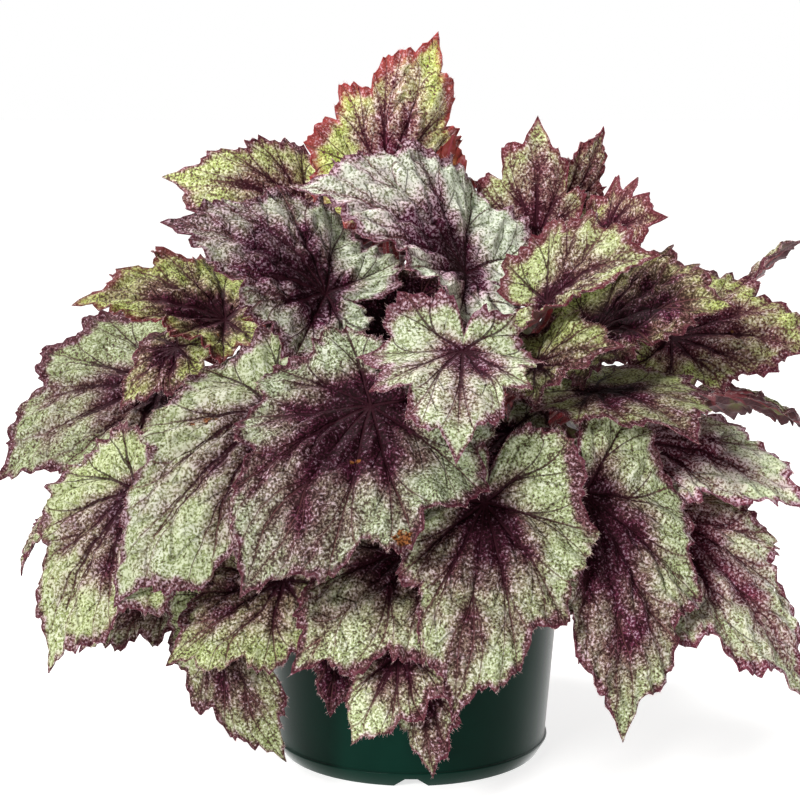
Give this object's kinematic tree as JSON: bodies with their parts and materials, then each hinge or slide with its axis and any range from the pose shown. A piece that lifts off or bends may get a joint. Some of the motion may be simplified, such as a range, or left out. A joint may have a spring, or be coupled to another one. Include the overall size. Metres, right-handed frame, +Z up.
{
  "type": "potted rex begonia",
  "caption": "Rex begonia: a mound of large lobed, toothed, silver-green and burgundy leaves on red stalks, growing in a dark green plastic nursery pot.",
  "frame": {"origin": "centre of the flat underside of the pot, which is what the plant stands on", "axes": "+Z up along the pot's axis; -Y is the front of the mound, the side the picture shows; +X is the viewer's right"},
  "size_m": [0.3845, 0.3268, 0.334],
  "materials": {
    "pot": "dark green moulded polypropylene, semi-gloss",
    "soil": "moist brown peat and bark potting mix",
    "stalk": "dark red fleshy stalks with fine hairs",
    "blade": "puckered silver-green blade speckled over burgundy, with a purple hairy margin"
  },
  "bodies": {
    "root": {"pot": "pot", "soil": "soil", "stems": "stalk", "leaf_01": "blade", "leaf_02": "blade", "leaf_03": "blade", "leaf_04": "blade", "leaf_05": "blade", "leaf_06": "blade", "leaf_07": "blade", "leaf_08": "blade", "leaf_09": "blade", "leaf_10": "blade", "leaf_11": "blade", "leaf_12": "blade", "leaf_13": "blade", "leaf_14": "blade", "leaf_15": "blade", "leaf_16": "blade", "leaf_17": "blade", "leaf_18": "blade", "leaf_19": "blade", "leaf_20": "blade", "leaf_21": "blade", "leaf_22": "blade", "leaf_23": "blade", "leaf_24": "blade", "leaf_25": "blade", "leaf_26": "blade", "leaf_27": "blade", "leaf_28": "blade", "leaf_29": "blade", "leaf_30": "blade", "leaf_31": "blade", "leaf_32": "blade", "leaf_33": "blade", "leaf_34": "blade", "leaf_35": "blade", "leaf_36": "blade", "leaf_37": "blade", "leaf_38": "blade", "leaf_39": "blade", "leaf_40": "blade", "leaf_41": "blade", "leaf_42": "blade", "leaf_43": "blade", "leaf_44": "blade", "leaf_45": "blade", "leaf_46": "blade", "leaf_47": "blade", "leaf_48": "blade", "leaf_49": "blade", "leaf_50": "blade", "leaf_51": "blade", "leaf_52": "blade", "leaf_53": "blade", "leaf_54": "blade"}
  },
  "joints": []
}
